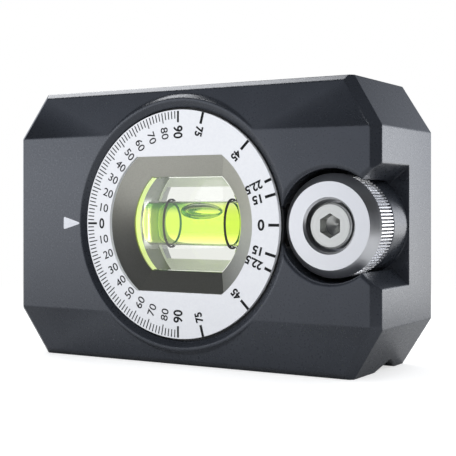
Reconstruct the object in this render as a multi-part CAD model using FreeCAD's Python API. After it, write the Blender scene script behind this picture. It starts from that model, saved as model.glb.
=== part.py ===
import FreeCAD, Part
import math
import os

# Magnetic pocket level with a turning 360 degree dial.
# X runs along the body, Y from the front face to the back, Z up.
# The origin is at the middle of the underside. All sizes are in millimetres.
V = FreeCAD.Vector

# Body casting
body_length = 84.0
body_height = 55.5
body_depth = 27.0
corner_cut_x = 6.0
corner_cut_z = 9.4
band_half_height = 18.0
facet_drop = 1.3
end_bevel = 1.6
long_edge_bevel = 1.0
back_chamfer = 0.6

# Pipe groove along the underside, and the magnets set into it
groove_width = 10.0
groove_depth = 2.3
groove_from_back = 10.0
groove_root_radius = 0.9
magnet_radius = 4.5
magnet_thickness = 3.2
magnet_from_end = 14.0
magnet_recess = 0.3
magnet_chamfer = 0.25
magnet_pocket_clearance = 0.05

# Dial: printed plate, two moulded carrier halves and the drive tyre
dial_offset_x = -0.6
dial_height = 28.0
plate_radius = 22.6
plate_thickness = 0.8
plate_setback = 0.2
aperture_gap = 0.5
mouth_bevel = 1.2
mouth_bevel_depth = 0.8
guide_clearance = 0.07
guide_start = 1.2
guide_length = 1.0
carrier_clearance = 0.9
rim_width = 1.9
rim_edge_radius = 0.15
rim_skirt_width = 1.2
rim_skirt_start = 0.2
opening_radius = 16.8
opening_half_height = 13.5
window_radius = 12.6
window_half_height = 9.45
funnel_depth = 3.0
back_window_radius = 14.0
back_window_half_height = 7.6
flange_thickness = 4.0
flange_radius = 24.83
axial_play = 0.05

# Vial: clear block with a bored tube, fluid, level lines and an end plug
block_radius = 14.5
block_half_height = 10.4
block_setback = 4.6
block_from_back = 6.6
block_clearance = 0.1
block_neck_gap = 0.05
block_neck_setback = 3.3
neck_chamfer = 0.2
vial_radius = 4.6
vial_half_length = 13.0
line_offset = 7.3
line_width = 0.4
line_thickness = 0.5
line_clearance = 0.02
bubble_half_length = 5.2
bubble_depth = 3.8
plug_gap = 0.05
plug_length = 0.7

# Fasteners of the carrier halves, from the back
carrier_screw_radius = 1.1
carrier_screw_head_radius = 2.0
carrier_screw_head_height = 1.4
carrier_screw_socket = 1.5
carrier_screw_bite = 5.0
carrier_screw_circle = 19.6
carrier_screw_angle = 58.0
screw_socket_depth = 0.7
screw_clearance = 0.05
screw_tip_room = 0.8

# Cover at the back
cover_thickness = 2.0
cover_radius = 26.0
cover_hole_radius = 22.0
cover_gap = 0.15
ear_circle = 28.6
ear_radius = 3.4
ear_angle = 38.0
cover_screw_radius = 1.25
cover_screw_head_radius = 2.4
cover_screw_length = 8.0
cover_screw_socket = 2.0

# Thumbwheel in its pocket at the end of the body
wheel_x = 32.25
wheel_radius = 9.64
wheel_face_radius = 8.1
wheel_bevel_depth = 1.9
wheel_thickness = 7.3
knurl_count = 92
knurl_depth = 0.35
knurl_land = 0.4
knurl_flank = 0.15
counterbore_radius = 4.85
counterbore_mouth_radius = 5.25
counterbore_mouth_depth = 0.45
counterbore_depth = 5.9
pocket_radius = 10.5
pocket_depth = 14.6
pocket_mouth_half_height = 11.3
pocket_flare_angle = 53.0
pocket_edge_radius = 0.7
boss_radius = 9.5
boss_edge_radius = 0.5
thrust_washer_thickness = 0.3
thrust_washer_radius = 7.5
wave_washer_thickness = 0.25
wave_washer_radius = 4.2

# Wheel screw: a socket head cap screw of 5 mm thread, in a brass insert
screw_radius = 2.5
screw_head_radius = 4.25
screw_head_height = 5.0
screw_head_chamfer = 0.35
hex_across_flats = 4.0
hex_depth = 2.5
hex_point_depth = 0.9
screw_length = 16.0
pivot_clearance = 0.06
insert_radius = 3.5
insert_length = 8.0
insert_clearance = 0.02

# Friction drive between the wheel and the dial
drive_gap = 0.06
tyre_width = 2.8
tyre_thickness = 1.5
tyre_start = 3.3
tyre_edge_radius = 0.4
tyre_side_gap = 0.05

# Worked out from the sizes above
front = -body_depth / 2
back = body_depth / 2
axle_distance = wheel_x - dial_offset_x
tyre_radius = axle_distance - wheel_radius - drive_gap
aperture_radius = plate_radius + aperture_gap
guide_radius = aperture_radius - guide_clearance
bore_radius = plate_radius + carrier_clearance
flange_bore_radius = flange_radius + guide_clearance
groove_setback = body_depth - groove_from_back
cover_front = body_depth - cover_thickness
flange_setback = cover_front - flange_thickness
carrier_back = body_depth - plate_setback
block_back = body_depth - block_from_back
carrier_split = (block_setback + block_back) / 2
plate_back = plate_setback + plate_thickness
carrier_screw_end = carrier_split - carrier_screw_bite
window_setback = plate_setback + funnel_depth
back_window_setback = block_back + block_clearance
boss_top = wheel_thickness + thrust_washer_thickness + 2 * axial_play
screw_head_back = counterbore_depth - wave_washer_thickness - axial_play
half_length = body_length / 2
far = 200.0


def turned(x, z, radius, start, end):
    """Cylinder along Y, with its ends measured from the front face."""
    return Part.makeCylinder(radius, end - start, V(x, front + start, z), V(0, 1, 0))


def coned(x, z, start_radius, end_radius, start, end):
    """Cone along Y, with its ends measured from the front face."""
    return Part.makeCone(start_radius, end_radius, end - start, V(x, front + start, z), V(0, 1, 0))


def slab(x0, x1, start, end, z0, z1):
    """Box whose Y range is measured from the front face."""
    return Part.makeBox(x1 - x0, end - start, z1 - z0, V(x0, front + start, z0))


def prism_along_x(points, x0, x1):
    """Closed outline of (setback, height) points, drawn out along X."""
    corners = [V(x0, front + setback, height) for setback, height in points]
    face = Part.Face(Part.makePolygon(corners + corners[:1]))
    return face.extrude(V(x1 - x0, 0, 0))


def prism_along_y(points, start, end):
    """Closed outline of (x, z) points, drawn out along Y."""
    corners = [V(x, front + start, z) for x, z in points]
    face = Part.Face(Part.makePolygon(corners + corners[:1]))
    return face.extrude(V(0, end - start, 0))


def on_circle(circle_radius, angle):
    """Place on a circle round the dial's axis, angle measured from +X."""
    turn = math.radians(angle)
    return (dial_offset_x + circle_radius * math.cos(turn),
            dial_height + circle_radius * math.sin(turn))


def flatted(radius, half_height, start, end):
    """Round about the dial's axis, with a flat top and bottom."""
    round_part = turned(dial_offset_x, dial_height, radius, start, end)
    band = slab(-far, far, start, end, dial_height - half_height, dial_height + half_height)
    return round_part.common(band)


def flatted_taper(radius0, half0, radius1, half1, start, end):
    """Like flatted, but going evenly from one size to another."""
    cone = coned(dial_offset_x, dial_height, radius0, radius1, start, end)
    wedge = prism_along_x([(start, dial_height - half0), (start, dial_height + half0),
                           (end, dial_height + half1), (end, dial_height - half1)], -far, far)
    return cone.common(wedge)


def trimmed(shape, point, normal):
    """Shape with all that lies beyond a plane cut off."""
    beyond = Part.makeBox(2 * far, 2 * far, far, V(-far, -far, 0))
    beyond.Placement = FreeCAD.Placement(point, FreeCAD.Rotation(V(0, 0, 1), normal))
    return shape.cut(beyond)


def bevelled(shape, face, other_face, size):
    """Shape with a bevel where two of its flat faces meet, each a point and a normal."""
    point, normal = face
    other_point, other_normal = other_face
    slant = normal.dot(other_normal)
    reach = (other_point - point).dot(other_normal) / (1 - slant * slant)
    corner = point + other_normal * reach - normal * (slant * reach)
    inward = normal * slant - other_normal
    inward.normalize()
    return trimmed(shape, corner + inward * size, normal + other_normal)


def mirrored_angles(angle):
    return [angle, 180 - angle, 180 + angle, -angle]


def save(name, shape):
    shape.exportStep("parts/" + name + ".step")


def body_blank():
    """Faceted front, cut corners and bevels, before anything is machined into it."""
    low = dial_height - band_half_height
    high = dial_height + band_half_height
    corner_x = half_length - corner_cut_x
    section = prism_along_x([(0, low), (0, high), (facet_drop, body_height),
                             (body_depth, body_height), (body_depth, 0), (facet_drop, 0)],
                            -half_length, half_length)
    outline = prism_along_y([(-half_length, corner_cut_z), (-corner_x, 0), (corner_x, 0),
                             (half_length, corner_cut_z),
                             (half_length, body_height - corner_cut_z),
                             (corner_x, body_height), (-corner_x, body_height),
                             (-half_length, body_height - corner_cut_z)], 0, body_depth)
    blank = section.common(outline)

    top = (V(0, 0, body_height), V(0, 0, 1))
    bottom = (V(0, 0, 0), V(0, 0, -1))
    back_face = (V(0, back, dial_height), V(0, 1, 0))
    band = (V(0, front, dial_height), V(0, -1, 0))
    upper = (V(0, front, high), V(0, high - body_height, facet_drop).normalize())
    lower = (V(0, front, low), V(0, -low, -facet_drop).normalize())
    for facet, edge_face in ((upper, top), (lower, bottom)):
        blank = bevelled(blank, facet, edge_face, long_edge_bevel)
        blank = bevelled(blank, back_face, edge_face, back_chamfer)
    for side in (-1, 1):
        end = (V(side * half_length, 0, dial_height), V(side, 0, 0))
        for face in (band, upper, lower):
            blank = bevelled(blank, face, end, end_bevel)
        blank = bevelled(blank, back_face, end, back_chamfer)
        for facet, edge_z, up in ((upper, body_height, 1), (lower, 0, -1)):
            corner_face = (V(side * corner_x, 0, edge_z),
                           V(side * corner_cut_z, 0, up * corner_cut_x).normalize())
            blank = bevelled(blank, facet, corner_face, end_bevel)
            blank = bevelled(blank, back_face, corner_face, back_chamfer)
    return blank.removeSplitter()


def dial_rim():
    """Raised rim round the dial, with a sloping skirt down to the facets."""
    rim_radius = aperture_radius + rim_width
    rim = turned(dial_offset_x, dial_height, rim_radius, 0, body_depth / 2)
    rim = rim.makeFillet(rim_edge_radius, front_edges(rim, 0))
    skirt = coned(dial_offset_x, dial_height, rim_radius, rim_radius + rim_skirt_width,
                  rim_skirt_start, rim_skirt_start + facet_drop)
    return rim.fuse(skirt)


def thumb_pocket():
    """Round pocket for the thumbwheel, flared open to the end of the body."""
    turn = math.radians(pocket_flare_angle)
    inner_x = wheel_x + pocket_radius * math.cos(turn)
    inner_z = pocket_radius * math.sin(turn)
    slope = (pocket_mouth_half_height - inner_z) / (half_length - inner_x)
    outer_x = half_length + end_bevel
    outer_z = inner_z + slope * (outer_x - inner_x)
    mouth = [(wheel_x, -inner_z), (inner_x, -inner_z), (outer_x, -outer_z),
             (outer_x, outer_z), (inner_x, inner_z), (wheel_x, inner_z)]
    flare = prism_along_y([(x, dial_height + z) for x, z in mouth], -1, pocket_depth)
    return turned(wheel_x, dial_height, pocket_radius, -1, pocket_depth).fuse(flare)


def front_edges(shape, setback):
    """Edges that lie in the plane this far behind the front face."""
    return [edge for edge in shape.Edges
            if all(abs(v.Point.y - front - setback) < 0.001 for v in edge.Vertexes)]


def softened_pocket(body):
    """Body with the pocket's front edge rounded, as the casting's is."""
    rim = [edge for edge in front_edges(body, 0)
           if all(v.Point.x > wheel_x - pocket_radius - 0.01
                  and abs(v.Point.z - dial_height) < pocket_mouth_half_height
                  for v in edge.Vertexes)]
    return body.makeFillet(pocket_edge_radius, rim)


def cover_outline(gap, start, end):
    """Round cover with an ear for each of its four screws."""
    outline = turned(dial_offset_x, dial_height, cover_radius + gap, start, end)
    for angle in mirrored_angles(ear_angle):
        x, z = on_circle(ear_circle, angle)
        outline = outline.fuse(turned(x, z, ear_radius + gap, start, end))
    return outline.removeSplitter()


def pipe_groove():
    """V groove with a rounded root, from end to end of the underside."""
    half = groove_width / 2
    groove = prism_along_x([(groove_setback - half, 0), (groove_setback, groove_depth),
                            (groove_setback + half, 0), (groove_setback + half, -1),
                            (groove_setback - half, -1)], -half_length, half_length)
    root = [edge for edge in groove.Edges
            if all(v.Point.z > groove_depth - 0.01 for v in edge.Vertexes)]
    return groove.makeFillet(groove_root_radius, root)


def magnet_places():
    place = half_length - magnet_from_end
    return {"magnet_left": -place, "magnet_right": place}


def magnet_base():
    """Height of the magnets' lower faces, just above the groove's root."""
    return groove_depth + magnet_recess


def body_casting():
    body = body_blank().fuse(dial_rim()).removeSplitter()
    body = softened_pocket(body.cut(thumb_pocket()))
    boss = turned(wheel_x, dial_height, boss_radius, boss_top, pocket_depth + 1)
    body = body.fuse(boss.makeFillet(boss_edge_radius, front_edges(boss, boss_top)))
    bore = turned(dial_offset_x, dial_height, aperture_radius, -1, guide_start + guide_length)
    bore = bore.fuse(coned(dial_offset_x, dial_height, aperture_radius + 2 * mouth_bevel,
                           aperture_radius, -mouth_bevel_depth, mouth_bevel_depth))
    bore = bore.fuse(turned(dial_offset_x, dial_height, bore_radius,
                            guide_start + guide_length, flange_setback))
    bore = bore.fuse(turned(dial_offset_x, dial_height, flange_bore_radius,
                            flange_setback, cover_front))
    body = body.cut(bore.removeSplitter())
    body = body.cut(cover_outline(cover_gap, cover_front, body_depth + 1))
    for angle in mirrored_angles(ear_angle):
        x, z = on_circle(ear_circle, angle)
        hole_end = body_depth - cover_screw_length - screw_tip_room
        body = body.cut(turned(x, z, cover_screw_radius + screw_clearance, hole_end, body_depth))
    body = body.cut(pipe_groove())
    pocket_top = magnet_base() + magnet_thickness + magnet_pocket_clearance
    for x in magnet_places().values():
        body = body.cut(Part.makeCylinder(magnet_radius + magnet_pocket_clearance,
                                          pocket_top + 1, V(x, front + groove_setback, -1)))
    body = body.cut(turned(wheel_x, dial_height, insert_radius + insert_clearance,
                           boss_top - 1, boss_top + insert_length))
    screw_end = screw_head_back + screw_length + screw_tip_room
    return body.cut(turned(wheel_x, dial_height, screw_radius + pivot_clearance,
                           boss_top, screw_end)).removeSplitter()


def magnet(x):
    disc = Part.makeCylinder(magnet_radius, magnet_thickness,
                             V(x, front + groove_setback, magnet_base()))
    return disc.makeChamfer(magnet_chamfer, [e for e in disc.Edges if len(e.Vertexes) == 1])


def rear_cover():
    cover = cover_outline(0, cover_front, body_depth)
    cover = cover.cut(turned(dial_offset_x, dial_height, cover_hole_radius,
                             cover_front - 1, body_depth + 1))
    sink = cover_screw_head_radius + screw_clearance
    for angle in mirrored_angles(ear_angle):
        x, z = on_circle(ear_circle, angle)
        hole = cover_screw_radius + screw_clearance
        cover = cover.cut(turned(x, z, hole, cover_front - 1, body_depth + 1))
        cover = cover.cut(coned(x, z, hole, sink, body_depth - (sink - hole), body_depth))
    return cover


def cover_screws():
    """Four countersunk screws with a hexagon socket."""
    screws = []
    rise = cover_screw_head_radius - cover_screw_radius
    for angle in mirrored_angles(ear_angle):
        x, z = on_circle(ear_circle, angle)
        screw = turned(x, z, cover_screw_radius, body_depth - cover_screw_length, body_depth)
        screw = screw.fuse(coned(x, z, cover_screw_radius, cover_screw_head_radius,
                                 body_depth - rise, body_depth))
        screws.append(screw.cut(hexagon(x, z, cover_screw_socket,
                                        body_depth - screw_socket_depth, body_depth + 1)))
    return Part.makeCompound(screws)


def hexagon(x, z, across_flats, start, end):
    corner = across_flats / math.sqrt(3)
    points = [(x + corner * math.cos(math.radians(60 * i + 30)),
               z + corner * math.sin(math.radians(60 * i + 30))) for i in range(6)]
    return prism_along_y(points, start, end)


def thread_insert():
    insert = turned(wheel_x, dial_height, insert_radius, boss_top, boss_top + insert_length)
    return insert.cut(turned(wheel_x, dial_height, screw_radius + pivot_clearance,
                             boss_top - 1, boss_top + insert_length + 1))


def washer(inner, outer, start, thickness):
    ring = turned(wheel_x, dial_height, outer, start, start + thickness)
    return ring.cut(turned(wheel_x, dial_height, inner, start - 1, start + thickness + 1))


def wheel_screw():
    head_front = screw_head_back - screw_head_height
    head = turned(wheel_x, dial_height, screw_head_radius, head_front, screw_head_back)
    rim = [edge for edge in head.Edges
           if len(edge.Vertexes) == 1 and edge.Vertexes[0].Point.y < front + head_front + 0.01]
    head = head.makeChamfer(screw_head_chamfer, rim)
    shank = turned(wheel_x, dial_height, screw_radius, screw_head_back - 1,
                   screw_head_back + screw_length)
    screw = head.fuse(shank).removeSplitter()
    socket_end = head_front + hex_depth
    screw = screw.cut(hexagon(wheel_x, dial_height, hex_across_flats, head_front - 1, socket_end))
    return screw.cut(coned(wheel_x, dial_height, hex_across_flats / 2, 0,
                           socket_end, socket_end + hex_point_depth))


def knurled_band(start, end):
    """Straight knurl: flat-topped ridges with sloping flanks, as shares of each step."""
    points = []
    step = 2 * math.pi / knurl_count
    for i in range(knurl_count):
        for part_step, radius in ((0, wheel_radius), (knurl_land, wheel_radius),
                                  (knurl_land + knurl_flank, wheel_radius - knurl_depth),
                                  (1 - knurl_flank, wheel_radius - knurl_depth)):
            angle = (i + part_step) * step
            points.append((wheel_x + radius * math.cos(angle),
                           dial_height + radius * math.sin(angle)))
    return prism_along_y(points, start, end)


def thumbwheel():
    wheel = coned(wheel_x, dial_height, wheel_face_radius, wheel_radius, 0, wheel_bevel_depth)
    wheel = wheel.fuse(knurled_band(wheel_bevel_depth, wheel_thickness))
    wheel = wheel.cut(turned(wheel_x, dial_height, counterbore_radius, -1, counterbore_depth))
    wheel = wheel.cut(coned(wheel_x, dial_height, counterbore_mouth_radius, counterbore_radius,
                            0, counterbore_mouth_depth))
    return wheel.cut(turned(wheel_x, dial_height, screw_radius + pivot_clearance,
                            -1, wheel_thickness + 1))


def dial_plate():
    plate = turned(dial_offset_x, dial_height, plate_radius, plate_setback, plate_back)
    return plate.cut(flatted(opening_radius, opening_half_height, plate_setback - 1,
                             plate_back + 1))


def block_space(start, end):
    """Seat of the vial block, shared by the two carrier halves."""
    return flatted(block_radius + block_clearance, block_half_height + block_clearance,
                   start, end)


def front_carrier():
    body = turned(dial_offset_x, dial_height, plate_radius, plate_back, carrier_split)
    body = body.fuse(turned(dial_offset_x, dial_height, guide_radius, guide_start,
                            guide_start + guide_length))
    funnel = flatted_taper(opening_radius, opening_half_height, window_radius,
                           window_half_height, plate_back, window_setback)
    throat = flatted(window_radius, window_half_height, window_setback - 0.01,
                     block_setback + 1)
    body = body.cut(funnel).cut(throat)
    body = body.cut(block_space(block_setback - block_clearance, carrier_split + 1))
    groove = turned(dial_offset_x, dial_height, plate_radius + 1, tyre_start - tyre_side_gap,
                    tyre_start + tyre_width + tyre_side_gap)
    groove = groove.cut(turned(dial_offset_x, dial_height,
                               tyre_radius - tyre_thickness - tyre_side_gap,
                               tyre_start - 1, tyre_start + tyre_width + 1))
    body = body.cut(groove)
    for angle in mirrored_angles(carrier_screw_angle):
        x, z = on_circle(carrier_screw_circle, angle)
        body = body.cut(turned(x, z, carrier_screw_radius + screw_clearance,
                               carrier_screw_end - screw_tip_room, carrier_split + 1))
    return body.removeSplitter()


def rear_carrier():
    end = carrier_back
    flange_end = cover_front - axial_play
    body = turned(dial_offset_x, dial_height, plate_radius, carrier_split, flange_end)
    body = body.fuse(turned(dial_offset_x, dial_height, flange_radius,
                            flange_setback + axial_play, flange_end))
    body = body.fuse(turned(dial_offset_x, dial_height, cover_hole_radius - aperture_gap,
                            carrier_split, end)).removeSplitter()
    body = body.cut(block_space(carrier_split - 1, back_window_setback))
    body = body.cut(flatted_taper(back_window_radius, back_window_half_height,
                                  opening_radius, opening_half_height,
                                  back_window_setback - 0.01, end + 0.01))
    for angle in mirrored_angles(carrier_screw_angle):
        x, z = on_circle(carrier_screw_circle, angle)
        body = body.cut(turned(x, z, carrier_screw_radius + screw_clearance,
                               carrier_split - 1, end + 1))
        body = body.cut(turned(x, z, carrier_screw_head_radius + screw_clearance,
                               end - carrier_screw_head_height, end + 1))
    return body


def carrier_screws():
    """Four small screws that draw the carrier halves together."""
    screws = []
    end = carrier_back
    for angle in mirrored_angles(carrier_screw_angle):
        x, z = on_circle(carrier_screw_circle, angle)
        screw = turned(x, z, carrier_screw_radius, carrier_screw_end, end)
        screw = screw.fuse(turned(x, z, carrier_screw_head_radius,
                                  end - carrier_screw_head_height, end)).removeSplitter()
        screws.append(screw.cut(hexagon(x, z, carrier_screw_socket,
                                        end - screw_socket_depth, end + 1)))
    return Part.makeCompound(screws)


def drive_tyre():
    ring = turned(dial_offset_x, dial_height, tyre_radius, tyre_start, tyre_start + tyre_width)
    outer = [edge for edge in ring.Edges if len(edge.Vertexes) == 1]
    ring = ring.makeFillet(tyre_edge_radius, outer)
    return ring.cut(turned(dial_offset_x, dial_height, tyre_radius - tyre_thickness,
                           tyre_start - 1, tyre_start + tyre_width + 1))


def along_vial(radius, x0, x1):
    """Cylinder along the vial, with X measured from the dial's axis."""
    centre = V(dial_offset_x + x0, front + carrier_split, dial_height)
    return Part.makeCylinder(radius, x1 - x0, centre, V(1, 0, 0))


def line_groove(x):
    half = line_width / 2 + line_clearance
    return along_vial(vial_radius + line_thickness + line_clearance, x - half, x + half)


def vial_block():
    block = flatted(block_radius, block_half_height, block_setback, block_back)
    neck_radius = window_radius - block_neck_gap
    neck_half = window_half_height - block_neck_gap
    block = block.fuse(flatted(neck_radius, neck_half, block_neck_setback + neck_chamfer,
                               block_setback + 1))
    block = block.fuse(flatted_taper(neck_radius - neck_chamfer, neck_half - neck_chamfer,
                                     neck_radius, neck_half, block_neck_setback,
                                     block_neck_setback + neck_chamfer)).removeSplitter()
    block = block.cut(along_vial(vial_radius, -vial_half_length, block_radius + 1))
    for x in (-line_offset, line_offset):
        block = block.cut(line_groove(x))
    return block


def vial_line(x):
    """Black level line, a ring in its groove round the tube."""
    ring = along_vial(vial_radius + line_thickness, x - line_width / 2, x + line_width / 2)
    return ring.cut(along_vial(vial_radius, x - line_width, x + line_width))


def bubble():
    """Air bubble against the top of the tube, longer than it is deep."""
    ball = Part.makeSphere(1.0)
    stretch = FreeCAD.Matrix()
    stretch.scale(bubble_half_length, bubble_depth, bubble_depth)
    ball = ball.transformGeometry(stretch)
    ball.translate(V(dial_offset_x, front + carrier_split, dial_height + vial_radius))
    return ball


def vial_fluid():
    return along_vial(vial_radius, -vial_half_length, vial_half_length).cut(bubble())


def vial_plug():
    return along_vial(vial_radius - plug_gap, vial_half_length, vial_half_length + plug_length)


def main():
    os.makedirs("parts", exist_ok=True)
    save("body_casting", body_casting())
    save("rear_cover", rear_cover())
    save("cover_screws", cover_screws())
    for name, x in magnet_places().items():
        save(name, magnet(x))
    save("thread_insert", thread_insert())
    save("thrust_washer", washer(screw_radius + pivot_clearance, thrust_washer_radius,
                                 wheel_thickness + axial_play, thrust_washer_thickness))
    save("wave_washer", washer(screw_radius + pivot_clearance, wave_washer_radius,
                               screw_head_back, wave_washer_thickness))
    save("wheel_screw", wheel_screw())
    save("thumbwheel", thumbwheel())
    save("dial_plate", dial_plate())
    save("front_carrier", front_carrier())
    save("rear_carrier", rear_carrier())
    save("carrier_screws", carrier_screws())
    save("drive_tyre", drive_tyre())
    save("vial_block", vial_block())
    save("vial_fluid", vial_fluid())
    save("vial_line_left", vial_line(-line_offset))
    save("vial_line_right", vial_line(line_offset))
    save("vial_plug", vial_plug())


main()
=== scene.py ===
import bmesh
import bpy
import math
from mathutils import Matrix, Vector


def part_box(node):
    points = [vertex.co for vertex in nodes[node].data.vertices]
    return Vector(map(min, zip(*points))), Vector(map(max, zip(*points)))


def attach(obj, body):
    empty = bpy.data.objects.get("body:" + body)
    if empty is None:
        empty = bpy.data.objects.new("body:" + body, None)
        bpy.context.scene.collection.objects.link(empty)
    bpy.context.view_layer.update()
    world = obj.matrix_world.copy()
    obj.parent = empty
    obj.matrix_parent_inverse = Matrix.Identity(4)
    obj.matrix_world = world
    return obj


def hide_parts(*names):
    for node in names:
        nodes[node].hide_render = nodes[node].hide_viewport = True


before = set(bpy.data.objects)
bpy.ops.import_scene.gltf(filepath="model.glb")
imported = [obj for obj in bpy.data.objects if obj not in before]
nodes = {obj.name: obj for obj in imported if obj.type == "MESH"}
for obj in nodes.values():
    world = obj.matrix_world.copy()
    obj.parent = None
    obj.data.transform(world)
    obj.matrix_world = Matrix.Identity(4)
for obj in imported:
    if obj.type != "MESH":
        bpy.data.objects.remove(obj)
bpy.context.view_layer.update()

# A magnetic pocket level: powder-coated casting, printed dial with a clear block vial,
# knurled aluminium thumbwheel. Everything is in metres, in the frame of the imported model.
MM = 0.001
scene = bpy.context.scene

# Photograph: the camera that was fitted to it, in pixels of a 456 by 456 picture
PICTURE_PIXELS = 456
FOCAL_PIXELS = 1071.5
HORIZON_PIXEL = 204.9
CAMERA_AZIMUTH = math.radians(30.87)
CAMERA_DISTANCE = 210.8 * MM
CAMERA_SIDE_STEP = 9.45 * MM
CAMERA_ABOVE_DIAL = 3.8 * MM
SENSOR_WIDTH = 36.0

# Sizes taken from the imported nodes
plate_low, plate_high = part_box("dial_plate")
DIAL_X = (plate_low[0] + plate_high[0]) / 2
DIAL_Z = (plate_low[2] + plate_high[2]) / 2
DIAL_FACE_Y = plate_low[1]
PLATE_RADIUS = (plate_high[0] - plate_low[0]) / 2
block_low, block_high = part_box("vial_block")
fluid_low, fluid_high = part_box("vial_fluid")
VIAL_RADIUS = (fluid_high[1] - fluid_low[1]) / 2
VIAL_Y = (fluid_high[1] + fluid_low[1]) / 2
body_low, body_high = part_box("body_casting")
BODY_FRONT_Y = body_low[1]
wheel_low, wheel_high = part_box("thumbwheel")
WHEEL_X = (wheel_low[0] + wheel_high[0]) / 2
WHEEL_Z = (wheel_low[2] + wheel_high[2]) / 2
WHEEL_RADIUS = (wheel_high[0] - wheel_low[0]) / 2

# Share of a face's normal from which the face counts as turned along that axis
FACING = 0.3

# Refraction of the vial's three substances
ACRYLIC_IOR = 1.49
SPIRIT_IOR = 1.40
AIR_IOR = 1.0


def linear(hex_colour):
    """sRGB hex such as 3a3d44 as a linear RGBA colour."""
    channels = [int(hex_colour[i:i + 2], 16) / 255 for i in (0, 2, 4)]
    straight = [c / 12.92 if c <= 0.04045 else ((c + 0.055) / 1.055) ** 2.4 for c in channels]
    return (*straight, 1.0)


def set_inputs(tree, node, **inputs):
    """Sets or links a node's inputs, by their names or by their numbers, such as _0."""
    for name, value in inputs.items():
        socket = node.inputs[int(name[1:]) if name[0] == "_" else name.replace("_", " ")]
        if isinstance(value, bpy.types.NodeSocket):
            tree.links.new(value, socket)
        else:
            socket.default_value = value


def add_node(tree, kind, settings=None, **inputs):
    """Adds a node with its settings and its inputs."""
    node = tree.nodes.new(kind)
    for name, value in (settings or {}).items():
        setattr(node, name, value)
    set_inputs(tree, node, **inputs)
    return node


def new_material(name):
    material = bpy.data.materials.new(name)
    material.use_nodes = True
    tree = material.node_tree
    return material, tree, tree.nodes["Principled BSDF"]


def grain(tree, size, detail=2.0):
    """Noise whose features are about this size in metres, on the object's own coordinates."""
    place = add_node(tree, "ShaderNodeTexCoord")
    return add_node(tree, "ShaderNodeTexNoise", Vector=place.outputs["Object"],
                    Scale=1 / size, Detail=detail, Roughness=0.55)


def ramp(tree, factor, low, high, colours):
    """Colour ramp between two places of a factor, with linear colours."""
    node = add_node(tree, "ShaderNodeValToRGB", Fac=factor)
    for element, position, colour in zip(node.color_ramp.elements, (low, high), colours):
        element.position = position
        element.color = colour
    return node.outputs["Color"]


def tones(tree, factor, low, high, colours):
    """Ramp between two sRGB hex colours."""
    return ramp(tree, factor, low, high, [linear(colour) for colour in colours])


def grey_ramp(tree, factor, low, high, dark, light):
    """Ramp between two plain values."""
    return ramp(tree, factor, low, high, ((dark,) * 3 + (1,), (light,) * 3 + (1,)))


def powder_coat(name, colours, roughness, edge_radius):
    """Satin powder coat on a casting: an even dark coat with a fine orange-peel grain, soft
    at every edge. The grain is 0.45 mm, coarser than the real 0.15 mm so that it shows."""
    material, tree, shader = new_material(name)
    cloud = grain(tree, 9 * MM)
    peel = grain(tree, 0.45 * MM)
    edge = add_node(tree, "ShaderNodeBevel", {"samples": 6}, Radius=edge_radius)
    bump = add_node(tree, "ShaderNodeBump", Strength=0.03, Distance=0.06 * MM,
                    Height=peel.outputs["Fac"], Normal=edge.outputs["Normal"])
    set_inputs(tree, shader, IOR=1.7, Specular_Tint=linear("e8edf7"),
               Base_Color=tones(tree, cloud.outputs["Fac"], 0.35, 0.65, colours),
               Roughness=grey_ramp(tree, peel.outputs["Fac"], 0.3, 0.7,
                                   roughness - 0.03, roughness + 0.03),
               Normal=bump.outputs["Normal"])
    return material


def printed_enamel():
    """Satin white stoved enamel of the dial plate: smooth, faintly cool, with a very fine
    grain, drawn at 0.5 mm so that it shows."""
    material, tree, shader = new_material("satin_white_enamel")
    fine = grain(tree, 0.5 * MM)
    bump = add_node(tree, "ShaderNodeBump", Strength=0.05, Distance=0.02 * MM,
                    Height=fine.outputs["Fac"])
    set_inputs(tree, shader, IOR=1.5, Roughness=0.38, Normal=bump.outputs["Normal"],
               Base_Color=tones(tree, fine.outputs["Fac"], 0.3, 0.7, ("e6e7eb", "eaebee")))
    return material


def printing_ink(name, colours):
    """Pad-printed ink: even and almost matt, with faint 0.4 mm patches from the pad."""
    material, tree, shader = new_material(name)
    patch = grain(tree, 0.4 * MM, 1.0)
    set_inputs(tree, shader, IOR=1.5, Roughness=0.5, Specular_IOR_Level=0.2,
               Base_Color=tones(tree, patch.outputs["Fac"], 0.2, 0.8, colours))
    return material


def line_paint():
    """Dead matt black paint of the level lines and of the tube's plug, with next to no sheen
    and faint 0.3 mm patches from the brush."""
    material, tree, shader = new_material("matt_black_line")
    patch = grain(tree, 0.3 * MM, 1.0)
    set_inputs(tree, shader, IOR=1.5, Roughness=0.9, Specular_IOR_Level=0.05,
               Base_Color=tones(tree, patch.outputs["Fac"], 0.2, 0.8, ("030403", "070807")))
    return material


def metallised_abs():
    """Silver-grey moulded ABS, metallised: satin, with a soft sheen on its slopes. Its flakes
    are drawn at 0.3 mm so that they show."""
    material, tree, shader = new_material("silver_grey_abs")
    flake = grain(tree, 0.3 * MM)
    bump = add_node(tree, "ShaderNodeBump", Strength=0.06, Distance=0.02 * MM,
                    Height=flake.outputs["Fac"])
    set_inputs(tree, shader, Metallic=1.0, Roughness=0.33, Normal=bump.outputs["Normal"],
               Base_Color=tones(tree, flake.outputs["Fac"], 0.35, 0.65, ("b9b8af", "c0bfb6")))
    return material


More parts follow.
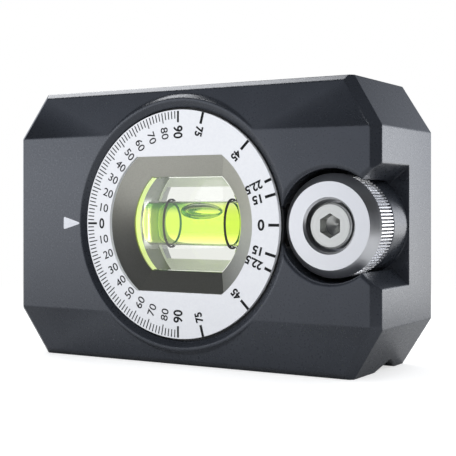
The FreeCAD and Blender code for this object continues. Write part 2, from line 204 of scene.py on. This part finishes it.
def moulded_abs(name, colours, roughness, glow=0.0):
    """Plain moulded ABS with a satin grain, drawn at 0.3 mm so that it shows. The glow stands
    for light that reaches it through clear pieces, which the renderer doesn't follow."""
    material, tree, shader = new_material(name)
    fine = grain(tree, 0.3 * MM)
    bump = add_node(tree, "ShaderNodeBump", Strength=0.08, Distance=0.02 * MM,
                    Height=fine.outputs["Fac"])
    set_inputs(tree, shader, IOR=1.53, Roughness=roughness, Normal=bump.outputs["Normal"],
               Base_Color=tones(tree, fine.outputs["Fac"], 0.3, 0.7, colours),
               Emission_Color=linear(colours[0]), Emission_Strength=glow)
    return material


def turned_metal(name, colour, roughness, groove):
    """Metal turned on a lathe: rings about the wheel's axis, one feed of the tool apart, fine
    enough to shimmer."""
    material, tree, shader = new_material(name)
    place = add_node(tree, "ShaderNodeTexCoord")
    moved = add_node(tree, "ShaderNodeMapping", {"vector_type": "POINT"},
                     Vector=place.outputs["Object"], Location=(-WHEEL_X, 0, -WHEEL_Z))
    flat = add_node(tree, "ShaderNodeVectorMath", {"operation": "MULTIPLY"},
                    _0=moved.outputs["Vector"], _1=(1, 0.6, 1))
    distance = add_node(tree, "ShaderNodeVectorMath", {"operation": "LENGTH"},
                        _0=flat.outputs["Vector"])
    rings = add_node(tree, "ShaderNodeTexNoise", {"noise_dimensions": "1D"},
                     W=distance.outputs["Value"], Scale=1 / groove, Detail=2.0)
    bump = add_node(tree, "ShaderNodeBump", Strength=0.15, Distance=0.02 * MM,
                    Height=rings.outputs["Fac"])
    set_inputs(tree, shader, Metallic=1.0, Normal=bump.outputs["Normal"],
               Base_Color=linear(colour),
               Roughness=grey_ramp(tree, rings.outputs["Fac"], 0.3, 0.7,
                                   roughness - 0.05, roughness + 0.07))
    return material


def plated_metal(name, colour, roughness):
    """Small plated or blackened piece: even, with a slight cloudiness of the plating, about
    0.8 mm across."""
    material, tree, shader = new_material(name)
    cloud = grain(tree, 0.8 * MM)
    set_inputs(tree, shader, Metallic=1.0, Base_Color=linear(colour),
               Roughness=grey_ramp(tree, cloud.outputs["Fac"], 0.3, 0.7,
                                   roughness - 0.06, roughness + 0.06))
    return material


def black_rubber():
    """Moulded nitrile rubber: black and nearly matt, with a 0.3 mm dusty grain."""
    material, tree, shader = new_material("black_nitrile_rubber")
    dust = grain(tree, 0.3 * MM)
    set_inputs(tree, shader, IOR=1.52,
               Base_Color=tones(tree, dust.outputs["Fac"], 0.3, 0.7, ("151515", "222222")),
               Roughness=grey_ramp(tree, dust.outputs["Fac"], 0.3, 0.7, 0.6, 0.75))
    return material


def cast_acrylic():
    """Polished cast acrylic: water clear, with the faintest green in its depth."""
    material, tree, shader = new_material("polished_acrylic")
    set_inputs(tree, shader, IOR=ACRYLIC_IOR, Roughness=0.0, Transmission_Weight=1.0,
               Base_Color=linear("eaece6"))
    return material


def sawn_acrylic():
    """Curved sides of the block: sawn and dull, but polished in line with the tube's end,
    towards the front. The change is about 2 mm wide in height and in depth."""
    material, tree, shader = new_material("sawn_acrylic")
    place = add_node(tree, "ShaderNodeTexCoord")
    parts = add_node(tree, "ShaderNodeSeparateXYZ", Vector=place.outputs["Object"])
    height = add_node(tree, "ShaderNodeMath", {"operation": "SUBTRACT"},
                      _0=parts.outputs["Z"], _1=DIAL_Z)
    off_axis = add_node(tree, "ShaderNodeMath", {"operation": "ABSOLUTE"},
                        _0=height.outputs["Value"])
    beside = add_node(tree, "ShaderNodeMapRange", {"interpolation_type": "SMOOTHSTEP"},
                      Value=off_axis.outputs["Value"], From_Min=3.4 * MM, From_Max=5.6 * MM)
    behind = add_node(tree, "ShaderNodeMapRange", {"interpolation_type": "SMOOTHSTEP"},
                      Value=parts.outputs["Y"], From_Min=0.5 * MM, From_Max=2.5 * MM)
    dull = add_node(tree, "ShaderNodeMath", {"operation": "MAXIMUM"},
                    _0=beside.outputs["Result"], _1=behind.outputs["Result"])
    # The dark olive colour where the sides are dull is painted: green for the spirit's light
    # carried in the acrylic, and dark as painted shade
    set_inputs(tree, shader, IOR=ACRYLIC_IOR,
               Transmission_Weight=grey_ramp(tree, dull.outputs["Value"], 0, 1, 1.0, 0.25),
               Roughness=grey_ramp(tree, dull.outputs["Value"], 0, 1, 0.0, 0.48),
               Base_Color=tones(tree, dull.outputs["Value"], 0, 1, ("ffffff", "5f684d")))
    return material


def lit_edge():
    """Rim of the block's neck: light caught inside the acrylic leaves here, yellow-green from
    the spirit. The rim's glow and its yellow-green colour are painted light that stands for it.
    Its saw marks are 0.8 mm apart."""
    material, tree, shader = new_material("edge_lit_acrylic")
    saw = grain(tree, 0.8 * MM)
    set_inputs(tree, shader, IOR=ACRYLIC_IOR, Transmission_Weight=0.3,
               Base_Color=linear("dde8a0"),
               Emission_Color=linear("e2f096"), Emission_Strength=0.7,
               Roughness=grey_ramp(tree, saw.outputs["Fac"], 0.3, 0.7, 0.4, 0.55))
    return material


def spirit():
    """Fluorescent yellow-green spirit. Its IOR is over that of the acrylic round it, because
    the two touch. The colour deepens with the depth looked through. Along the top, left of the
    bubble, its surface colour turns green: painted shade, for the dark that is seen through the
    tube's top there. The glow in its volume is painted light, partly real: it stands for the
    spirit's fluorescence, at a fixed strength."""
    material, tree, shader = new_material("fluorescent_spirit")
    place = add_node(tree, "ShaderNodeTexCoord")
    parts = add_node(tree, "ShaderNodeSeparateXYZ", Vector=place.outputs["Object"])
    # Painted shade: the surface colour turns green along the top, left of the bubble
    left = add_node(tree, "ShaderNodeMapRange", {"interpolation_type": "SMOOTHSTEP"},
                    Value=parts.outputs["X"], From_Min=DIAL_X - 5.0 * MM,
                    From_Max=DIAL_X - 2.0 * MM, To_Min=1.0, To_Max=0.0)
    shade = add_node(tree, "ShaderNodeMapRange", {"interpolation_type": "SMOOTHSTEP"},
                     Value=parts.outputs["Z"], From_Min=DIAL_Z + 2.2 * MM,
                     From_Max=DIAL_Z + 4.2 * MM, To_Max=left.outputs["Result"])
    set_inputs(tree, shader, IOR=SPIRIT_IOR / ACRYLIC_IOR, Roughness=0.0,
               Transmission_Weight=1.0,
               Base_Color=tones(tree, shade.outputs["Result"], 0, 1, ("fafafa", "74b074")))
    depth = add_node(tree, "ShaderNodeVolumeAbsorption", Color=(0.95, 1.0, 0.04, 1.0),
                     Density=260.0)
    # Painted light, partly real: a glow of fixed strength for the fluorescence
    glow = add_node(tree, "ShaderNodeEmission", Color=(0.04, 1.0, 0.25, 1.0), Strength=17.0)
    both = add_node(tree, "ShaderNodeAddShader", _0=depth.outputs["Volume"],
                    _1=glow.outputs["Emission"])
    tree.links.new(both.outputs["Shader"], tree.nodes["Material Output"].inputs["Volume"])
    return material


def air_bubble():
    """Air in the spirit: its IOR is over that of the liquid round it."""
    material, tree, shader = new_material("air_in_spirit")
    set_inputs(tree, shader, IOR=AIR_IOR / SPIRIT_IOR, Roughness=0.0,
               Transmission_Weight=1.0, Base_Color=linear("ffffff"))
    return material


def dress(node, *materials):
    """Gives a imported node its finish, or the slots for several."""
    mesh = nodes[node].data
    mesh.materials.clear()
    for material in materials:
        mesh.materials.append(material)


def make_piece(name, build, material, *details):
    """Object whose mesh is built by a function that fills a bmesh, from the details given."""
    mesh = bpy.data.meshes.new(name)
    bm = bmesh.new()
    build(bm, *details)
    bmesh.ops.recalc_face_normals(bm, faces=bm.faces)
    bm.to_mesh(mesh)
    bm.free()
    mesh.materials.append(material)
    piece = bpy.data.objects.new(name, mesh)
    scene.collection.objects.link(piece)
    return piece


def smooth_by_angle(piece, degrees):
    bpy.context.view_layer.objects.active = piece
    piece.select_set(True)
    bpy.ops.object.shade_smooth_by_angle(angle=math.radians(degrees))
    piece.select_set(False)


# Printed scale: thickness of the ink, and how far it is sunk so that nothing shows below it
INK_THICKNESS = 0.03 * MM
INK_SINK = 0.01 * MM

# Left half: from 0 to 90 both ways. Each kind of mark has a length and a width.
LEFT_STEP = 2
LEFT_TICK_GAP = 0.25 * MM
FINE_TICK = (1.5 * MM, 0.2 * MM)
TEN_TICK = (2.05 * MM, 0.2 * MM)
MAIN_TICK = (2.25 * MM, 0.42 * MM)

# Each kind of number has its height, the radius where it starts, what is added to each side
# of its strokes, and how wide its glyphs are set
TEN_NUMBER = (1.65 * MM, 19.45 * MM, 0.01 * MM, 1.08)
MAIN_NUMBER = (2.15 * MM, 19.45 * MM, 0.06 * MM, 0.9)

# Right half: the usual working angles, with the length of each mark, and their numbers
RIGHT_TICK_WIDTH = 0.54 * MM
RIGHT_TICK_LENGTHS = {75: 2.3 * MM, 45: 2.3 * MM, 22.5: 1.5 * MM, 15: 2.3 * MM, 0: 2.3 * MM}
RIGHT_BOLD = 0.075 * MM
RIGHT_NUMBERS = {75: (1.7 * MM, 19.75 * MM, RIGHT_BOLD, 0.91),
                 45: (1.7 * MM, 19.75 * MM, RIGHT_BOLD, 0.91),
                 22.5: (1.7 * MM, 20.45 * MM, RIGHT_BOLD, 1.0),
                 15: (1.7 * MM, 19.45 * MM, RIGHT_BOLD, 1.08),
                 0: (2.15 * MM, 19.45 * MM, RIGHT_BOLD, 1.02)}

# Index mark: its rear edge, tip and half height, and the rounding of its corners
MARK_REAR = -29.3 * MM
MARK_TIP = -24.6 * MM
MARK_HALF = 1.35 * MM
MARK_CORNER = 0.32 * MM


def ink_solid(bm, outline, surface_y):
    """Closed flat solid of ink from (x, z) points, on a surface that faces the viewer."""
    back_ring = [bm.verts.new((x, surface_y + INK_SINK, z)) for x, z in outline]
    front_ring = [bm.verts.new((x, surface_y - INK_THICKNESS, z)) for x, z in outline]
    bm.faces.new(back_ring)
    bm.faces.new(front_ring)
    for i in range(len(outline)):
        j = (i + 1) % len(outline)
        bm.faces.new((back_ring[i], back_ring[j], front_ring[j], front_ring[i]))


def radial_tick(bm, angle, outer, length, width):
    """Mark along a radius of the dial, inwards from the outer radius."""
    along = Vector((math.cos(angle), math.sin(angle)))
    across = Vector((-along.y, along.x)) * (width / 2)
    centre = Vector((DIAL_X, DIAL_Z))
    near = centre + along * outer
    far = centre + along * (outer - length)
    corners = [near + across, far + across, far - across, near - across]
    ink_solid(bm, [tuple(c) for c in corners], DIAL_FACE_Y)


def scale_ticks(bm):
    """Marks of the scale on both halves of the dial."""
    for reading in range(-90, 91, LEFT_STEP):
        tick = FINE_TICK
        if reading % 90 == 0:
            tick = MAIN_TICK
        elif reading % 10 == 0:
            tick = TEN_TICK
        radial_tick(bm, math.radians(180 - reading), PLATE_RADIUS - LEFT_TICK_GAP, *tick)
    for reading, length in RIGHT_TICK_LENGTHS.items():
        for angle in {reading, -reading}:
            radial_tick(bm, math.radians(angle), PLATE_RADIUS, length, RIGHT_TICK_WIDTH)


def embolden(bm, amount):
    """Moves the outline of flat glyphs outwards, and that of their counters inwards."""
    shifts = {}
    for edge in bm.edges:
        if len(edge.link_faces) != 1:
            continue
        a, b = edge.verts
        across = Vector((b.co.y - a.co.y, a.co.x - b.co.x, 0)).normalized()
        if across.dot(edge.link_faces[0].calc_center_median() - a.co) > 0:
            across.negate()
        for v in (a, b):
            shifts[v] = shifts.get(v, Vector()) + across
    for v, shift in shifts.items():
        v.co += shift * (2 * amount / max(shift.length_squared, 1.0))


def number_mesh(text, angle, height, start_radius, bold, width):
    """A number that reads inwards from the rim, as a flat mesh at the front of the ink."""
    curve = bpy.data.curves.new("number", "FONT")
    curve.body = text
    curve.size = 1.0
    curve.resolution_u = 4
    lettering = bpy.data.objects.new("number", curve)
    scene.collection.objects.link(lettering)
    bpy.context.view_layer.update()
    flat = bpy.data.meshes.new_from_object(lettering.evaluated_get(
        bpy.context.evaluated_depsgraph_get()))
    bpy.data.objects.remove(lettering)
    bm = bmesh.new()
    bm.from_mesh(flat)
    ys = [v.co.y for v in bm.verts]
    low, high = min(ys), max(ys)
    scale = (height - 2 * bold) / (high - low)
    embolden(bm, bold / scale)
    left = min(v.co.x for v in bm.verts)
    inwards = Vector((-math.cos(angle), -math.sin(angle)))
    upwards = Vector((-inwards.y, inwards.x))
    start = Vector((DIAL_X, DIAL_Z)) - inwards * start_radius
    for v in bm.verts:
        along = (v.co.x - left) * scale * width
        above = (v.co.y - (low + high) / 2) * scale
        place = start + inwards * along + upwards * above
        v.co = Vector((place.x, DIAL_FACE_Y - INK_THICKNESS, place.y))
    bm.to_mesh(flat)
    bm.free()
    return flat


def scale_numbers(bm):
    """All the numbers, joined, each with its own thickness down to the plate."""
    flats = []
    for reading in range(-90, 91, 10):
        number = MAIN_NUMBER if reading % 90 == 0 else TEN_NUMBER
        flats.append(number_mesh(str(abs(reading)), math.radians(180 - reading), *number))
    for reading, number in RIGHT_NUMBERS.items():
        for angle in {reading, -reading}:
            flats.append(number_mesh(str(reading), math.radians(angle), *number))
    for flat in flats:
        bm.from_mesh(flat)
        bpy.data.meshes.remove(flat)
    bmesh.ops.remove_doubles(bm, verts=bm.verts, dist=1e-7)
    raised = bmesh.ops.extrude_face_region(bm, geom=bm.faces[:])
    lowered = [g for g in raised["geom"] if isinstance(g, bmesh.types.BMVert)]
    bmesh.ops.translate(bm, verts=lowered, vec=(0, INK_THICKNESS + INK_SINK, 0))


def index_mark(bm):
    """Pointer on the body: a triangle with rounded corners that points at the dial's zero."""
    corners = [Vector((MARK_REAR, -MARK_HALF)), Vector((MARK_TIP, 0)),
               Vector((MARK_REAR, MARK_HALF))]
    outline = []
    for i, corner in enumerate(corners):
        before = (corners[i - 1] - corner).normalized()
        after = (corners[(i + 1) % 3] - corner).normalized()
        reach = MARK_CORNER / math.tan(before.angle(after) / 2)
        start = corner + before * reach
        end = corner + after * reach
        for step in range(7):
            t = step / 6
            point = start * (1 - t) ** 2 + corner * (2 * t * (1 - t)) + end * t ** 2
            outline.append((point.x, point.y + DIAL_Z))
    ink_solid(bm, outline, BODY_FRONT_Y)


def join_rings(bm, loops):
    """Faces between neighbouring rings of equal length."""
    for a, b in loops:
        for i in range(len(a)):
            j = (i + 1) % len(a)
            bm.faces.new((a[i], a[j], b[j], b[i]))


def skin(bm, rings):
    """Closed solid through rings of equal length, each a list of points."""
    loops = [[bm.verts.new(p) for p in ring] for ring in rings]
    join_rings(bm, zip(loops, loops[1:]))
    bm.faces.new(loops[0])
    bm.faces.new(loops[-1])


# Clear block: the main plate, its neck in the window and small polished chamfers. Its
# shoulder is 1.7 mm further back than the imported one, hidden in the carrier, so that the
# neck's lit rim shows as wide as in the photograph.
BLOCK_RADIUS = (block_high[0] - block_low[0]) / 2
BLOCK_HALF = (block_high[2] - block_low[2]) / 2
SHOULDER_Y = BODY_FRONT_Y + 6.3 * MM
NECK_RADIUS = 12.55 * MM
NECK_HALF = 9.4 * MM
NECK_CHAMFER = 0.15 * MM
CURVED_SIDE_STEPS = 48


def block_ring(radius, half_height, y):
    """Points at one depth, round a circle that has a flat top and bottom."""
    side = math.asin(half_height / radius)
    points = []
    for centre_angle in (0.0, math.pi):
        for i in range(CURVED_SIDE_STEPS + 1):
            angle = centre_angle - side + 2 * side * i / CURVED_SIDE_STEPS
            points.append((DIAL_X + radius * math.cos(angle), y,
                           DIAL_Z + radius * math.sin(angle)))
    return points


def clear_block(bm):
    """Outer form of the block alone: the liquid's own surface is the wall of the tube. Its
    curved sides have the second slot's finish, and those of its neck have the third's."""
    front_y = block_low[1]
    skin(bm, [block_ring(NECK_RADIUS - NECK_CHAMFER, NECK_HALF - NECK_CHAMFER, front_y),
              block_ring(NECK_RADIUS, NECK_HALF, front_y + NECK_CHAMFER),
              block_ring(NECK_RADIUS, NECK_HALF, SHOULDER_Y),
              block_ring(BLOCK_RADIUS, BLOCK_HALF, SHOULDER_Y),
              block_ring(BLOCK_RADIUS, BLOCK_HALF, block_high[1])])
    for face in bm.faces:
        face.normal_update()
        if abs(face.normal.x) > FACING and abs(face.normal.y) < FACING:
            in_neck = face.calc_center_median().y < SHOULDER_Y
            face.material_index = 2 if in_neck else 1


# Tube: the liquid in it and the two lines round it
TUBE_SIDES = 96
TUBE_END_RADIUS = 0.9 * MM
TUBE_END_STEPS = 6
LINE_WIDTH = 0.4 * MM
LINE_THICKNESS = 0.35 * MM


def tube_ring(x, radius):
    """Points round the tube's axis at one place along it."""
    turns = [2 * math.pi * i / TUBE_SIDES for i in range(TUBE_SIDES)]
    return [(x, VIAL_Y + radius * math.cos(turn), DIAL_Z + radius * math.sin(turn))
            for turn in turns]


def level_line(bm, node):
    """Thin painted hoop round the tube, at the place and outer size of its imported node, but
    thinner, so that it stands 0.15 mm clear of the liquid."""
    low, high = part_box(node)
    outer = (high[1] - low[1]) / 2
    inner = outer - LINE_THICKNESS
    middle = (low[0] + high[0]) / 2
    left = middle - LINE_WIDTH / 2
    right = middle + LINE_WIDTH / 2
    rings = [tube_ring(left, outer), tube_ring(right, outer),
             tube_ring(right, inner), tube_ring(left, inner)]
    loops = [[bm.verts.new(p) for p in ring] for ring in rings]
    join_rings(bm, zip(loops, loops[1:] + loops[:1]))


def spirit_column(bm):
    """The spirit in its tube, with rounded ends."""
    turns = [math.radians(90 * i / TUBE_END_STEPS) for i in range(TUBE_END_STEPS + 1)]
    rings = []
    for end, inwards, end_turns in ((fluid_low[0], 1, turns), (fluid_high[0], -1, turns[::-1])):
        for turn in end_turns:
            rings.append(tube_ring(end + inwards * TUBE_END_RADIUS * (1 - math.cos(turn)),
                                   VIAL_RADIUS - TUBE_END_RADIUS * (1 - math.sin(turn))))
    skin(bm, rings)


# Bubble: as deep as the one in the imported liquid, a little shorter and narrower, and kept a
# hair's breadth inside the liquid's surface
BUBBLE_HALF_LENGTH = 5.0 * MM
BUBBLE_HALF_WIDTH = 3.3 * MM
BUBBLE_DEPTH = 3.8 * MM
BUBBLE_FILM = 0.06 * MM


def bubble(bm):
    """Long bubble whose top follows the tube and whose underside is a shallow dish."""
    bmesh.ops.create_uvsphere(bm, u_segments=64, v_segments=40, radius=1.0)
    wall = VIAL_RADIUS - BUBBLE_FILM
    for v in bm.verts:
        x, y, z = v.co
        y *= BUBBLE_HALF_WIDTH
        z = z * BUBBLE_DEPTH / 2 + wall - BUBBLE_DEPTH / 2
        reach = math.hypot(y, z)
        if reach > wall:
            y, z = y * wall / reach, z * wall / reach
        v.co = (DIAL_X + x * BUBBLE_HALF_LENGTH, VIAL_Y + y, DIAL_Z + z)


def dark_side(tree, direction):
    """1 all round, falling to a dark wall at the front right, beside the camera."""
    unit = add_node(tree, "ShaderNodeVectorMath", {"operation": "NORMALIZE"}, _0=direction)
    towards = add_node(tree, "ShaderNodeVectorMath", {"operation": "DOT_PRODUCT"},
                       _0=unit.outputs["Vector"], _1=(0.8, -0.6, 0.0))
    wall = add_node(tree, "ShaderNodeMapRange", {"interpolation_type": "SMOOTHSTEP"},
                    Value=towards.outputs["Value"], From_Min=0.35, From_Max=0.8,
                    To_Min=1.0, To_Max=0.08)
    return wall.outputs["Result"]


def seen_rays(tree, path):
    """1 for what the camera sees, straight or through clear pieces."""
    seen = add_node(tree, "ShaderNodeMath", {"operation": "MAXIMUM"},
                    _0=path.outputs["Is Camera Ray"], _1=path.outputs["Is Transmission Ray"])
    return seen.outputs["Value"]


def studio_world():
    """White to the camera and through clear pieces, and an even light on everything. What
    the metal and paint mirror is white at the horizon and dark above and at one side."""
    world = bpy.data.worlds.new("studio")
    scene.world = world
    world.use_nodes = True
    tree = world.node_tree
    tree.nodes.clear()
    path = add_node(tree, "ShaderNodeLightPath")
    direction = add_node(tree, "ShaderNodeTexCoord")
    height = add_node(tree, "ShaderNodeSeparateXYZ", Vector=direction.outputs["Generated"])
    behind = add_node(tree, "ShaderNodeMath", {"operation": "MAXIMUM"},
                      _0=height.outputs["Y"], _1=0.0)
    lowered = add_node(tree, "ShaderNodeMath", {"operation": "MULTIPLY_ADD"},
                       _0=behind.outputs["Value"], _1=-0.08, _2=height.outputs["Z"])
    above = add_node(tree, "ShaderNodeMapRange", {"interpolation_type": "SMOOTHSTEP"},
                     Value=lowered.outputs["Value"], From_Min=0.05, From_Max=0.5,
                     To_Min=1.1, To_Max=0.06)
    brightness = add_node(tree, "ShaderNodeMath", {"operation": "MULTIPLY"},
                          _0=above.outputs["Result"],
                          _1=dark_side(tree, direction.outputs["Generated"]))
    lighting = add_node(tree, "ShaderNodeBackground", Color=linear("f2f4f7"), Strength=1.3)
    shine = add_node(tree, "ShaderNodeBackground", Color=linear("e6ebf6"),
                     Strength=brightness.outputs["Value"])
    white = add_node(tree, "ShaderNodeBackground", Color=(1, 1, 1, 1), Strength=1.0)
    unseen = add_node(tree, "ShaderNodeMixShader", _0=path.outputs["Is Glossy Ray"],
                      _1=lighting.outputs["Background"], _2=shine.outputs["Background"])
    mix = add_node(tree, "ShaderNodeMixShader", _0=seen_rays(tree, path),
                   _1=unseen.outputs["Shader"], _2=white.outputs["Background"])
    add_node(tree, "ShaderNodeOutputWorld", Surface=mix.outputs["Shader"])


# Floor: its half width, its drop below the underside, and where the table round the object,
# which takes its shadow, fades into white paper
FLOOR_REACH = 3.0
FLOOR_DROP = 0.02 * MM
TABLE_NEAR = 0.08
TABLE_FAR = 0.22


def table_finish():
    """White table with the object's shadow, and white paper beyond it."""
    material = bpy.data.materials.new("white_table")
    material.use_nodes = True
    tree = material.node_tree
    tree.nodes.clear()
    path = add_node(tree, "ShaderNodeLightPath")
    seen = seen_rays(tree, path)
    strength = add_node(tree, "ShaderNodeMath", {"operation": "MULTIPLY"}, _0=seen, _1=0.6)
    surface = add_node(tree, "ShaderNodeBsdfDiffuse", Color=(0.5, 0.5, 0.5, 1))
    glow = add_node(tree, "ShaderNodeEmission", Color=(1, 1, 1, 1),
                    Strength=strength.outputs["Value"])
    near = add_node(tree, "ShaderNodeAddShader", _0=surface.outputs["BSDF"],
                    _1=glow.outputs["Emission"])
    place = add_node(tree, "ShaderNodeTexCoord")
    away = add_node(tree, "ShaderNodeVectorMath", {"operation": "LENGTH"},
                    _0=place.outputs["Object"])
    fade = add_node(tree, "ShaderNodeMapRange", {"interpolation_type": "SMOOTHSTEP"},
                    Value=away.outputs["Value"], From_Min=TABLE_NEAR, From_Max=TABLE_FAR)
    far_strength = add_node(tree, "ShaderNodeMath", {"operation": "MAXIMUM"},
                            _0=seen, _1=dark_side(tree, place.outputs["Object"]))
    shown = add_node(tree, "ShaderNodeEmission", Color=(1, 1, 1, 1),
                     Strength=far_strength.outputs["Value"])
    mirrored = add_node(tree, "ShaderNodeMath", {"operation": "MAXIMUM"},
                        _0=seen, _1=path.outputs["Is Glossy Ray"])
    card = add_node(tree, "ShaderNodeBsdfDiffuse", Color=(0.8, 0.8, 0.8, 1))
    paper = add_node(tree, "ShaderNodeMixShader", _0=mirrored.outputs["Value"],
                     _1=card.outputs["BSDF"], _2=shown.outputs["Emission"])
    both = add_node(tree, "ShaderNodeMixShader", _0=fade.outputs["Result"],
                    _1=near.outputs["Shader"], _2=paper.outputs["Shader"])
    add_node(tree, "ShaderNodeOutputMaterial", Surface=both.outputs["Shader"])
    return material


def studio_floor():
    mesh = bpy.data.meshes.new("floor")
    reach = FLOOR_REACH
    mesh.from_pydata([(-reach, -reach, 0), (reach, -reach, 0), (reach, reach, 0),
                      (-reach, reach, 0)], [], [(0, 1, 2, 3)])
    floor = bpy.data.objects.new("floor", mesh)
    floor.location.z = -FLOOR_DROP
    scene.collection.objects.link(floor)
    mesh.materials.append(table_finish())


def soft_light(name, target, direction, distance, size, power):
    """Soft box that faces a target from a direction."""
    lamp = bpy.data.lights.new(name, "AREA")
    lamp.shape = "RECTANGLE"
    lamp.size, lamp.size_y = size
    lamp.energy = power
    light = bpy.data.objects.new(name, lamp)
    target = Vector(target)
    light.location = target + Vector(direction).normalized() * distance
    light.visible_camera = False
    light.rotation_euler = (target - light.location).to_track_quat("-Z", "Y").to_euler()
    scene.collection.objects.link(light)


def photograph_camera():
    """Level camera with its picture shifted up, at the photograph's place."""
    camera_data = bpy.data.cameras.new("camera")
    camera_data.sensor_width = SENSOR_WIDTH
    camera_data.lens = FOCAL_PIXELS / PICTURE_PIXELS * SENSOR_WIDTH
    camera_data.shift_y = (HORIZON_PIXEL - PICTURE_PIXELS / 2) / PICTURE_PIXELS
    camera_data.clip_start = 0.01
    camera = bpy.data.objects.new("camera", camera_data)
    side = Vector((math.cos(CAMERA_AZIMUTH), math.sin(CAMERA_AZIMUTH), 0))
    back = Vector((math.sin(CAMERA_AZIMUTH), -math.cos(CAMERA_AZIMUTH), 0))
    camera.location = (Vector((0, BODY_FRONT_Y, DIAL_Z + CAMERA_ABOVE_DIAL))
                       + back * CAMERA_DISTANCE + side * CAMERA_SIDE_STEP)
    camera.rotation_euler = (math.pi / 2, 0, CAMERA_AZIMUTH)
    scene.collection.objects.link(camera)
    scene.camera = camera


# Studio: a box at the left that the front mirrors, a card that the right end mirrors, and a
# box above and behind for the narrow top facet
photograph_camera()
studio_world()
studio_floor()
dial_middle = (DIAL_X, BODY_FRONT_Y, DIAL_Z)
end_middle = (body_high[0], 0.0, DIAL_Z)
soft_light("left_box", dial_middle, (-0.72, -0.70, -0.05), 0.55, (0.30, 0.22), 0.41)
soft_light("end_card", end_middle, (0.66, 0.75, 0.02), 0.126, (0.10, 0.075), 0.062)
soft_light("top_box", dial_middle, (-0.60, 0.33, 0.73), 0.50, (0.24, 0.35), 1.35)

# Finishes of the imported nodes
black_line = line_paint()
blackened = plated_metal("blackened_steel", "2a2b2e", 0.42)
washer_metal = plated_metal("plain_steel", "8f9194", 0.35)
nickel = plated_metal("bright_nickel", "c9c8c4", 0.22)
finishes = {
    "body_casting": powder_coat("satin_powder_coat", ("22252b", "26292f"), 0.29, 0.5 * MM),
    "rear_cover": powder_coat("cover_powder_coat", ("303238", "35373d"), 0.45, 0.15 * MM),
    "cover_screws": blackened,
    "carrier_screws": blackened,
    "magnet_left": nickel,
    "magnet_right": nickel,
    "thread_insert": plated_metal("machined_brass", "c9a657", 0.3),
    "thrust_washer": washer_metal,
    "wave_washer": washer_metal,
    "wheel_screw": turned_metal("turned_zinc_plate", "d2d3d0", 0.32, 0.16 * MM),
    "dial_plate": printed_enamel(),
    "drive_tyre": black_rubber(),
    "vial_plug": black_line,
}
for node, finish in finishes.items():
    dress(node, finish)

# Thumbwheel: turned faces, bright knurl, and painted shade on the floors of the knurl's grooves
KNURL_DEPTH = 0.45 * MM
SHADED_GROOVE_DEPTH = 0.28 * MM
dress("thumbwheel", turned_metal("turned_aluminium", "e4e5e8", 0.34, 0.12 * MM),
      plated_metal("knurled_aluminium", "e4e5e8", 0.3),
      plated_metal("groove_painted_shade", "2b2c30", 0.5))
for face in nodes["thumbwheel"].data.polygons:
    radius = math.hypot(face.center.x - WHEEL_X, face.center.z - WHEEL_Z)
    if abs(face.normal.y) < FACING and radius > WHEEL_RADIUS - KNURL_DEPTH:
        face.material_index = 1 if radius > WHEEL_RADIUS - SHADED_GROOVE_DEPTH else 2

# Front carrier: painted shade, black on the outside, where it shows only as a dark, shaded gap
# round the plate
GAP_SHADE_WIDTH = 0.3 * MM
dress("front_carrier", metallised_abs(), moulded_abs("gap_shade_black_abs", ("0f1012", "15161a"), 0.5))
for face in nodes["front_carrier"].data.polygons:
    radius = math.hypot(face.center.x - DIAL_X, face.center.z - DIAL_Z)
    face.material_index = 1 if radius > PLATE_RADIUS - GAP_SHADE_WIDTH else 0

# Rear carrier: plain mid grey where it looks backwards. Elsewhere it is a lighter grey that
# glows: painted light, for the light that reaches it through the vial
dress("rear_carrier", moulded_abs("grey_abs_with_painted_light", ("eff0ea", "f3f4ee"), 0.4, 0.35),
      moulded_abs("mid_grey_abs", ("8f908c", "979894"), 0.45))
for face in nodes["rear_carrier"].data.polygons:
    face.material_index = 1 if face.normal.y > FACING else 0

# Printing
black_ink = printing_ink("black_pad_ink", ("0c0d10", "131418"))
white_ink = printing_ink("white_pad_ink", ("d8dae0", "e2e4ea"))
ticks = make_piece("scale_ticks", scale_ticks, black_ink)
numbers = make_piece("scale_numbers", scale_numbers, black_ink)
for piece in (ticks, numbers):
    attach(piece, "dial")
pointer = make_piece("index_mark", index_mark, white_ink)
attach(pointer, "body")

# Vial: block, lines, liquid and bubble
block = make_piece("clear_block", clear_block, cast_acrylic())
block.data.materials.append(sawn_acrylic())
block.data.materials.append(lit_edge())
smooth_by_angle(block, degrees=25)
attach(block, "dial")
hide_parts("vial_block")
for node in ("vial_line_left", "vial_line_right"):
    hoop = make_piece(node + "_hoop", level_line, black_line, node)
    smooth_by_angle(hoop, degrees=35)
    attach(hoop, "dial")
    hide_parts(node)
column = make_piece("spirit_column", spirit_column, spirit())
smooth_by_angle(column, degrees=35)
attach(column, "dial")
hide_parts("vial_fluid")
air = make_piece("bubble", bubble, air_bubble())
smooth_by_angle(air, degrees=60)
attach(air, "dial")

scene.view_settings.view_transform = "Standard"
